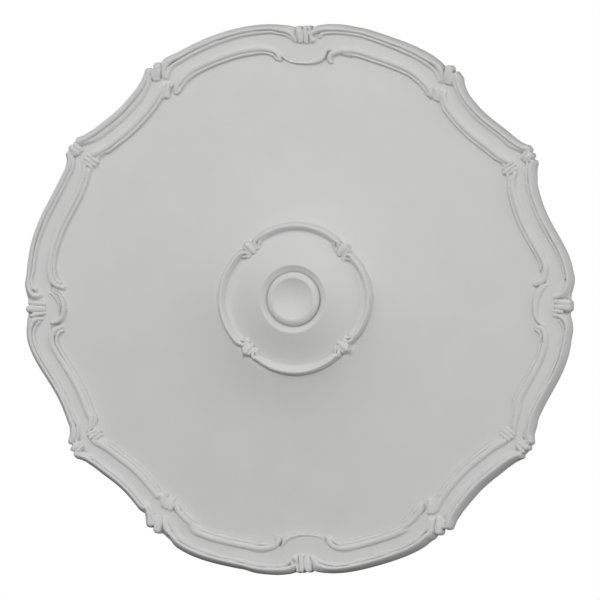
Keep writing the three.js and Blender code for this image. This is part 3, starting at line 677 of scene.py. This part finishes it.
def end_rows(end, line, knot):
    """A ridge's end as rows, from its line to its tip."""
    table = np.array(end.stations, float)
    share = np.linspace(0, 1, len(table) + 1)[1:, None]
    lows = lerp(np.array([line.outer_low, line.inner_low]), np.array(line.tips), share)
    return np.hstack([knot_points(knot, table[:, 0], table[:, 1]), table[:, 2:], lows])


def ridge(knots, k, line, ends, scales, point_at, blunt):
    """The ridge from one knot to the next, with its ends bent as the knots say."""
    start, stop = knots[k], knots[(k + 1) % len(knots)]
    first, last = ends
    leave = math.degrees((first.lead + start.hand * start.shift) / start.radius)
    arrive = np.mod(stop.clock - start.clock, TURN)
    arrive -= math.degrees((last.lead - stop.hand * stop.shift) / stop.radius)
    clocks = start.clock + np.linspace(leave, arrive, LINE_STEPS + 1)
    middle = line_rows(line, clocks, np.linspace(*scales, LINE_STEPS + 1), point_at)
    rows = [end_rows(first, line, start)[::-1], middle, end_rows(last, line, stop)]
    return stroke_of(np.concatenate(rows), blunt, (first.cut, last.cut))


def ends_at(design, knot):
    """The ridges' ends at a knot, in clockwise order whatever the knot's hand."""
    return (design.before, design.after) if knot.hand > 0 else (design.after, design.before)


def carved_rows(stations, lows, knot):
    """Stations with along, inwards, half width and crest as rows."""
    along, inwards, half, crest = np.array(stations, float).T
    levels = np.tile(lows, (len(half), 1))
    rows = np.hstack([knot_points(knot, along, inwards), np.stack([half, half, crest], axis=1), levels])
    return rows if knot.hand > 0 else rows[::-1]


def lobe_strokes(design, knot):
    """The strokes of a knot's lobes."""
    return [
        stroke_of(carved_rows(lobe.stations, (lobe.low, lobe.low), knot), (lobe.blunt, lobe.blunt))
        for lobe in design.lobes
    ]


def rim_strokes():
    """All strokes of the rim: the four ridges of each arc, and the knots' lobes and pockets."""
    strokes = []
    for k, knot in enumerate(OUTLINE):
        following = OUTLINE[(k + 1) % len(OUTLINE)]
        arc = ARCS[frozenset((knot.kind, following.kind))]
        design = DESIGNS[knot.carving]
        first, last = ends_at(design, knot)[1], ends_at(DESIGNS[following.carving], following)[0]
        scales = [(arc.scale[knot.kind], arc.scale[following.kind])] * 2 + [(1, 1)] * 2
        lines = (*arc.ridges, INNER_ROUND, INNER_BEAD)
        blunts = (RIM_BLUNT, ROUND, ROUND, ROUND)
        for line, scale, blunt, ends in zip(lines, scales, blunts, zip(first, last)):
            strokes.append(ridge(OUTLINE, k, line, ends, scale, outline_point, blunt))
        strokes += lobe_strokes(design, knot)
        strokes += [stroke_of(carved_rows(roll.stations, roll.lows, knot)) for roll in design.rolls]
    return strokes


def ring_strokes():
    """All strokes of the small ring."""
    strokes = []
    for k, knot in enumerate(RING):
        for line, *ends in zip((RING_ROUND, RING_BEAD), RING_DESIGN.after, RING_DESIGN.before):
            strokes.append(ridge(RING, k, line, ends, (1, 1), ring_point, RING_BLUNT))
        strokes += lobe_strokes(RING_DESIGN, knot)
    return strokes


def stroke_height(stroke, points):
    """Height of a stroke over points (x, z), falling away steeply outside it, and which points it covers."""
    path = stroke.rows[:, :2]
    step = np.diff(path, axis=0)
    length = np.linalg.norm(step, axis=1)
    gap = points[:, None, :] - path[None, :-1]
    raw = (gap * step).sum(axis=-1) / length**2
    share = np.clip(raw, 0, 1)
    off = np.linalg.norm(gap - step * share[..., None], axis=-1)
    i = np.argmin(off, axis=1)
    row = np.arange(len(points))
    t, raw, gap, off = share[row, i], raw[row, i], gap[row, i], off[row, i]
    before, beyond = (i == 0) & (raw < 0), (i == len(step) - 1) & (raw > 1)
    past = np.where(before | beyond, np.abs(raw - t) * length[i], 0)
    turn = gap[:, 0] * step[i, 1] - gap[:, 1] * step[i, 0]
    side = np.sign(turn) * np.sqrt(np.clip(off**2 - past**2, 0, None))
    _, _, outer, inner, crest, outer_low, inner_low = lerp(stroke.rows[i], stroke.rows[i + 1], t[:, None]).T
    half = np.where(side < 0, outer, inner)
    reach = np.hypot(side / half, past / np.where(before, *stroke.caps))
    low = lerp(outer_low, inner_low, smooth((1 + side / half) / 2))
    blunt = np.where(side < 0, *stroke.blunt)
    dome = (1 - np.clip(reach, 0, 1) ** blunt) ** (1 / blunt)
    return lerp(low, crest, dome) - SKIRT_SLOPE * half * np.clip(reach - 1, 0, None), reach < 1


def lay(strokes, points, ground):
    """The ground's heights raised by the strokes, and which points a stroke covers."""
    height = ground.copy()
    covered = np.zeros(len(points), bool)
    clock, radius = clock_of(points), np.linalg.norm(points, axis=1)
    for stroke in strokes:
        middle, turn, least, greatest = stroke.window
        near = (np.abs(turn_from(clock, middle)) < turn) & (radius > least) & (radius < greatest)
        if near.any():
            top, inside = stroke_height(stroke, points[near])
            height[near] = fuse(height[near], top)
            covered[near] |= inside
    return height, covered


def channel_share(points, inwards):
    """1 in the channel and in the pockets, 0 in the field."""
    share = 1 - smooth((inwards - CHANNEL_END) / (FIELD_START - CHANNEL_END))
    for knot in OUTLINE:
        for roll in DESIGNS[knot.carving].rolls[:1]:
            roll_along, roll_inwards, _, _ = np.array(roll.stations).T
            out = polar(knot.clock, 1.0)
            along = knot.hand * (points @ np.array([out[1], -out[0]]))
            depth = knot.radius - knot.inset - points @ out
            edge = np.interp(along, roll_along, roll_inwards, left=FAR_OUTSIDE, right=FAR_OUTSIDE)
            share = np.maximum(share, smooth((edge - depth) / POCKET_EDGE))
    return share


def ground_height(points):
    """The smooth ground between the strokes: channel, field and the rise to the ring."""
    clock = clock_of(points)
    radius = np.linalg.norm(points, axis=1)
    outline = outline_radius(clock)
    inwards = (outline - radius) / outline_stretch(clock)
    edge = outline - FIELD_START
    rise = np.clip((edge - radius) / (edge - RING_FOOT_RADIUS), 0, 1)
    flare = np.clip((FLARE_RADIUS - radius) / (FLARE_RADIUS - RING_FOOT_RADIUS), 0, 1)
    field = lerp(FIELD_EDGE, FIELD_CONE, rise) + (RING_FOOT - FIELD_CONE) * flare**FLARE_POWER
    channel = lerp(RIM_GROUND, CHANNEL, smooth(inwards / RIM_END))
    return lerp(field, channel, channel_share(points, inwards))


def centre_height(points):
    """The dome inside the ring, its collar and the dished boss."""
    radius = np.linalg.norm(points, axis=1)

    def share(start, stop):
        return np.clip((radius - start) / (stop - start), 0, 1)

    return np.select(
        [radius > COLLAR_RADIUS, radius > GROOVE_RADIUS, radius > BOSS_RADIUS, radius > DISH_RADIUS],
        [
            lerp(DOME_EDGE, COLLAR_TOP, share(RING_INSIDE, COLLAR_RADIUS)),
            lerp(COLLAR_FOOT, COLLAR_TOP, share(GROOVE_RADIUS, COLLAR_RADIUS)),
            quarter(COLLAR_FOOT, BOSS_CREST, share(GROOVE_RADIUS, BOSS_RADIUS)),
            quarter(DISH_EDGE, BOSS_CREST, share(DISH_RADIUS, BOSS_RADIUS)),
        ],
        lerp(DISH_CENTRE, DISH_EDGE, (radius / DISH_RADIUS) ** 2),
    )


RIM_STROKES = rim_strokes()
RING_STROKES = ring_strokes()


def rim_height(points):
    """Heights over the rim."""
    return lay(RIM_STROKES, points, ground_height(points))[0]


def ring_height(points):
    """Heights over the ring, from the field outside it to the dome inside."""
    inside = np.linalg.norm(points, axis=1) < ring_radius(clock_of(points))
    ground = np.where(inside, centre_height(points), ground_height(points))
    return lay(RING_STROKES, points, ground)[0]


def edge_radius(clocks):
    """Radius of the edge: the plate, or a lobe or moulding that stands proud of it."""
    plate = outline_radius(clocks) - PLATE_INSET
    for knot in OUTLINE:
        off = np.abs(np.radians(turn_from(clocks, knot.clock))) * knot.radius
        plate -= knot.dip * (1 - smooth(off / DIP_REACH))
    edge = plate.copy()
    for bump in np.arange(0, BUMP_REACH, EDGE_STEP):
        points = polar(clocks, plate + bump)
        covered = lay(RIM_STROKES, points, np.zeros(len(points)))[1]
        edge = np.where(covered, plate + bump, edge)
    return edge


def column_clocks(knots, reach_of, knot_step, arc_step):
    """Clock angles of a loop's columns: close together at the knots, wider between them."""
    clocks = []
    for k, knot in enumerate(knots):
        following = knots[(k + 1) % len(knots)]
        own = math.degrees(reach_of(knot) / knot.radius)
        count = round(2 * reach_of(knot) / knot_step)
        clocks += list(knot.clock + np.linspace(-own, own, count + 1))
        start = knot.clock + own
        span = np.mod(following.clock - math.degrees(reach_of(following) / following.radius) - start, TURN)
        steps = max(1, round(math.radians(span) * knot.radius / arc_step))
        clocks += list(start + span * np.arange(1, steps) / steps)
    return np.sort(np.mod(clocks, TURN))


class Surface:
    """A closed surface made of loops, from the edge of the back to the middle of the face."""

    def __init__(self):
        self.points = []
        self.faces = []
        self.count = 0
        self.last = None

    def add_points(self, flat, height):
        """Adds points (x, z) with heights and returns the number of the first."""
        first = self.count
        self.points.append(np.stack([flat[:, 0], -height, flat[:, 1]], axis=1))
        self.count += len(flat)
        return first

    def add_loop(self, clocks, radius, height_of):
        """Adds a loop of points and joins it to the one before."""
        flat = polar(clocks, radius)
        first = self.add_points(flat, height_of(flat))
        if self.last:
            self.join(*self.last, first, clocks)
        self.last = (first, clocks)

    def join(self, outer, outer_clocks, inner, inner_clocks):
        """Faces between two loops, which may have different columns."""
        n, m = len(outer_clocks), len(inner_clocks)
        if n == m and np.allclose(outer_clocks, inner_clocks):
            i = np.arange(n)
            j = (i + 1) % n
            self.faces += np.stack([outer + i, inner + i, inner + j, outer + j], axis=1).tolist()
            return
        ahead_outer = np.append(outer_clocks, outer_clocks[0] + TURN)
        ahead_inner = np.append(inner_clocks, inner_clocks[0] + TURN)
        i = j = 0
        while i < n or j < m:
            a, b = outer + i % n, inner + j % m
            if j >= m or (i < n and ahead_outer[i + 1] <= ahead_inner[j + 1]):
                self.faces.append([a, b, outer + (i + 1) % n])
                i += 1
            else:
                self.faces.append([a, b, inner + (j + 1) % m])
                j += 1

    def close(self, first, count, height, facing_out):
        """Closes a loop with a fan about the middle."""
        middle = self.add_points(np.zeros((1, 2)), np.array([height]))
        for i in range(count):
            a, b = first + i, first + (i + 1) % count
            self.faces.append([a, middle, b] if facing_out else [a, b, middle])

    def mesh(self, name):
        """The surface as a Blender mesh in metres."""
        mesh = bpy.data.meshes.new(name)
        mesh.from_pydata((np.concatenate(self.points) * MM).tolist(), [], self.faces)
        mesh.validate()
        return mesh


def knot_reach(knot):
    """How far a rim knot's close columns go to either side."""
    return MAJOR_REACH if knot.kind == "major" else MINOR_REACH


def rows_of(runs):
    """All rows of some runs."""
    return np.concatenate([np.arange(*run) for run in runs])


def build_surface():
    """The whole rose as loops from the back's edge to the boss."""
    surface = Surface()
    columns = column_clocks(OUTLINE, knot_reach, KNOT_STEP, ARC_STEP)
    outline, stretch, edge = outline_radius(columns), outline_stretch(columns), edge_radius(columns)
    surface.add_loop(columns, edge, lambda flat: np.full(len(flat), BACK))
    surface.add_loop(columns, edge, lambda flat: np.full(len(flat), WALL_TOP))
    for inwards in rows_of(RIM_ROWS):
        bump = max(0.0, 1 - inwards / BUMP_REACH)
        surface.add_loop(columns, outline - inwards * stretch + (edge - outline) * bump, rim_height)
    ring_columns = column_clocks(RING, lambda knot: RING_KNOT_REACH, RING_KNOT_STEP, RING_ARC_STEP)
    for radius in np.linspace(FIELD_FIRST_ROW, FIELD_LAST_ROW, FIELD_ROW_COUNT):
        surface.add_loop(ring_columns, radius, ground_height)
    centre_line = ring_radius(ring_columns)
    for outwards in (*RING_OUTER_ROWS, *rows_of(RING_ROWS)):
        surface.add_loop(ring_columns, centre_line + outwards, ring_height)
    boss_columns = np.arange(BOSS_COLUMNS) * TURN / BOSS_COLUMNS
    for radius in rows_of(BOSS_ROWS):
        surface.add_loop(boss_columns, radius, centre_height)
    last, clocks = surface.last
    surface.close(last, len(clocks), DISH_CENTRE, facing_out=True)
    surface.close(0, len(columns), BACK, facing_out=False)
    return surface


# The rose itself
SHARP_ANGLE = math.radians(50)
rose_mesh = build_surface().mesh("ceiling_rose_fine")
rose_mesh.shade_smooth()
rose_mesh.set_sharp_from_angle(angle=SHARP_ANGLE)
rose = bpy.data.objects.new("ceiling_rose_fine", rose_mesh)
bpy.context.collection.objects.link(rose)
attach(rose, "root")
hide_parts("ceiling_rose")

# Matt white paint: a faint mottle, a fine stipple, and painted shade that darkens the crevices
PAINT = (0.83, 0.83, 0.825, 1.0)
PAINT_DULL = (0.78, 0.78, 0.775, 1.0)
PAINT_ROUGHNESS = 0.75
MOTTLE_SCALE = 14.0
MOTTLE_DETAIL = 4.0
# Painted shade: the grey that crevices are darkened towards, and how far and how finely their closeness is
# sampled
CREVICE_SHADE = (0.50, 0.50, 0.495, 1.0)
CREVICE_SHADE_REACH = 0.006
CREVICE_SHADE_SAMPLES = 16
CREVICE_SHADE_OPEN = (0.30, 0.95)
STIPPLE_SCALE = 420.0
STIPPLE_STRENGTH = 0.12
STIPPLE_HEIGHT = 0.0004

# The mix node's sockets for colours, which share their names with others
COLOUR_SOCKETS = (6, 7)
COLOUR_RESULT = 2


def mix_colours(nodes, links, share, first, second):
    """A node that mixes two colours by a share; either colour may be a constant or a socket."""
    mixed = nodes.new("ShaderNodeMix")
    mixed.data_type = "RGBA"
    links.new(share, mixed.inputs["Factor"])
    for number, colour in zip(COLOUR_SOCKETS, (first, second)):
        if isinstance(colour, tuple):
            mixed.inputs[number].default_value = colour
        else:
            links.new(colour, mixed.inputs[number])
    return mixed.outputs[COLOUR_RESULT]


def paint_material():
    """Matt white paint, with painted shade in its crevices."""
    material = bpy.data.materials.new("white_paint")
    material.use_nodes = True
    nodes, links = material.node_tree.nodes, material.node_tree.links
    shader = nodes["Principled BSDF"]
    shader.inputs["Roughness"].default_value = PAINT_ROUGHNESS
    place = nodes.new("ShaderNodeTexCoord")

    mottle = nodes.new("ShaderNodeTexNoise")
    mottle.inputs["Scale"].default_value = MOTTLE_SCALE
    mottle.inputs["Detail"].default_value = MOTTLE_DETAIL
    links.new(place.outputs["Object"], mottle.inputs["Vector"])
    paint = mix_colours(nodes, links, mottle.outputs["Fac"], PAINT_DULL, PAINT)

    # Painted shade: points shut in by nearby relief are mixed towards a grey, standing in for the shade that
    # falls in crevices
    open_share = nodes.new("ShaderNodeAmbientOcclusion")
    open_share.samples = CREVICE_SHADE_SAMPLES
    open_share.only_local = True
    open_share.inputs["Distance"].default_value = CREVICE_SHADE_REACH
    unshaded_share = nodes.new("ShaderNodeMapRange")
    unshaded_share.interpolation_type = "SMOOTHSTEP"
    unshaded_share.inputs["From Min"].default_value, unshaded_share.inputs["From Max"].default_value = CREVICE_SHADE_OPEN
    links.new(open_share.outputs["AO"], unshaded_share.inputs["Value"])
    links.new(mix_colours(nodes, links, unshaded_share.outputs["Result"], CREVICE_SHADE, paint), shader.inputs["Base Color"])

    stipple = nodes.new("ShaderNodeTexNoise")
    stipple.inputs["Scale"].default_value = STIPPLE_SCALE
    links.new(place.outputs["Object"], stipple.inputs["Vector"])
    bump = nodes.new("ShaderNodeBump")
    bump.inputs["Strength"].default_value = STIPPLE_STRENGTH
    bump.inputs["Distance"].default_value = STIPPLE_HEIGHT
    links.new(stipple.outputs["Fac"], bump.inputs["Height"])
    links.new(bump.outputs["Normal"], shader.inputs["Normal"])
    return material


rose_mesh.materials.append(paint_material())

# Floor, well below the rose, so that it stays out of the photograph's frame. It glows a little, since the
# lights are aimed at the rose, and lights nothing else.
FLOOR_LEVEL = -3.2
FLOOR_SIZE = 56.0
FLOOR_COLOUR = (0.85, 0.85, 0.85, 1.0)
FLOOR_GLOW = 0.75
bpy.ops.mesh.primitive_plane_add(size=FLOOR_SIZE, location=(0, 0, FLOOR_LEVEL))
floor = bpy.context.object
floor.name = "floor"
floor_paint = bpy.data.materials.new("floor_paint")
floor_paint.use_nodes = True
floor_shader = floor_paint.node_tree.nodes["Principled BSDF"]
floor_shader.inputs["Base Color"].default_value = FLOOR_COLOUR
floor_shader.inputs["Emission Color"].default_value = FLOOR_COLOUR
floor_shader.inputs["Emission Strength"].default_value = FLOOR_GLOW
floor.visible_diffuse = False
floor.visible_glossy = False
floor.data.materials.append(floor_paint)


def aim(obj, target):
    """Turns an object's -Z axis to a point."""
    obj.rotation_euler = (Vector(target) - obj.location).to_track_quat("-Z", "Y").to_euler()


# Soft lights round the rose: tilt from the way the face looks, clock angle about it, and power
Light = namedtuple("Light", "name tilt clock power")
LIGHTS = [
    Light("key_right", 25, 45, 70),
    Light("key_left", 50, 315, 70),
    Light("upper", 25, 0, 26),
    Light("upper_left", 25, 315, 38),
    Light("side_right", 72, 90, 50),
    Light("side_upper_right", 72, 45, 36),
    Light("side_upper_left", 72, 315, 15),
    Light("lower", 15, 180, 40),
    Light("back_left", 130, 300, 150),
    Light("back_right", 120, 95, 70),
]
LIGHT_DISTANCE = 6.0
LIGHT_SIZE = 3.0
for spec in LIGHTS:
    data = bpy.data.lights.new(spec.name, "AREA")
    data.shape = "SQUARE"
    data.size = LIGHT_SIZE
    data.energy = spec.power
    light = bpy.data.objects.new(spec.name, data)
    bpy.context.collection.objects.link(light)
    tilt = math.radians(spec.tilt)
    across, up = polar(spec.clock, math.sin(tilt))
    light.location = LIGHT_DISTANCE * Vector((across, -math.cos(tilt), up))
    aim(light, (0, 0, 0))

# White to the camera, a dim even light to everything else
WORLD_COLOUR = (1.0, 1.0, 1.0, 1.0)
WORLD_DIM = 0.05
world = bpy.data.worlds.new("studio")
world.use_nodes = True
bpy.context.scene.world = world
world_nodes, world_links = world.node_tree.nodes, world.node_tree.links
seen = world_nodes.new("ShaderNodeLightPath")
dim = world_nodes["Background"]
dim.inputs["Color"].default_value = WORLD_COLOUR
dim.inputs["Strength"].default_value = WORLD_DIM
white = world_nodes.new("ShaderNodeBackground")
white.inputs["Color"].default_value = WORLD_COLOUR
mix = world_nodes.new("ShaderNodeMixShader")
share_socket, dim_socket, white_socket = mix.inputs
world_links.new(seen.outputs["Is Camera Ray"], share_socket)
world_links.new(dim.outputs["Background"], dim_socket)
world_links.new(white.outputs["Background"], white_socket)
world_links.new(mix.outputs["Shader"], world_nodes["World Output"].inputs["Surface"])
bpy.context.scene.view_settings.view_transform = "Standard"

# Camera: a long lens far off, a little to the right of the rose and a little below it
CAMERA_DISTANCE = 12.0
CAMERA_RIGHT = math.radians(14)
CAMERA_BELOW = math.radians(1.5)
CAMERA_LENS = 400.0
CAMERA_SENSOR = 36.0
CAMERA_CLIP = 100.0
CAMERA_AIM = (-0.0033, -0.0008, -0.0002)
camera_data = bpy.data.cameras.new("camera")
camera_data.lens = CAMERA_LENS
camera_data.sensor_width = CAMERA_SENSOR
camera_data.clip_end = CAMERA_CLIP
camera = bpy.data.objects.new("camera", camera_data)
bpy.context.collection.objects.link(camera)
camera.location = CAMERA_DISTANCE * Vector((
    math.sin(CAMERA_RIGHT) * math.cos(CAMERA_BELOW),
    -math.cos(CAMERA_RIGHT) * math.cos(CAMERA_BELOW),
    -math.sin(CAMERA_BELOW),
))
aim(camera, CAMERA_AIM)
bpy.context.scene.camera = camera
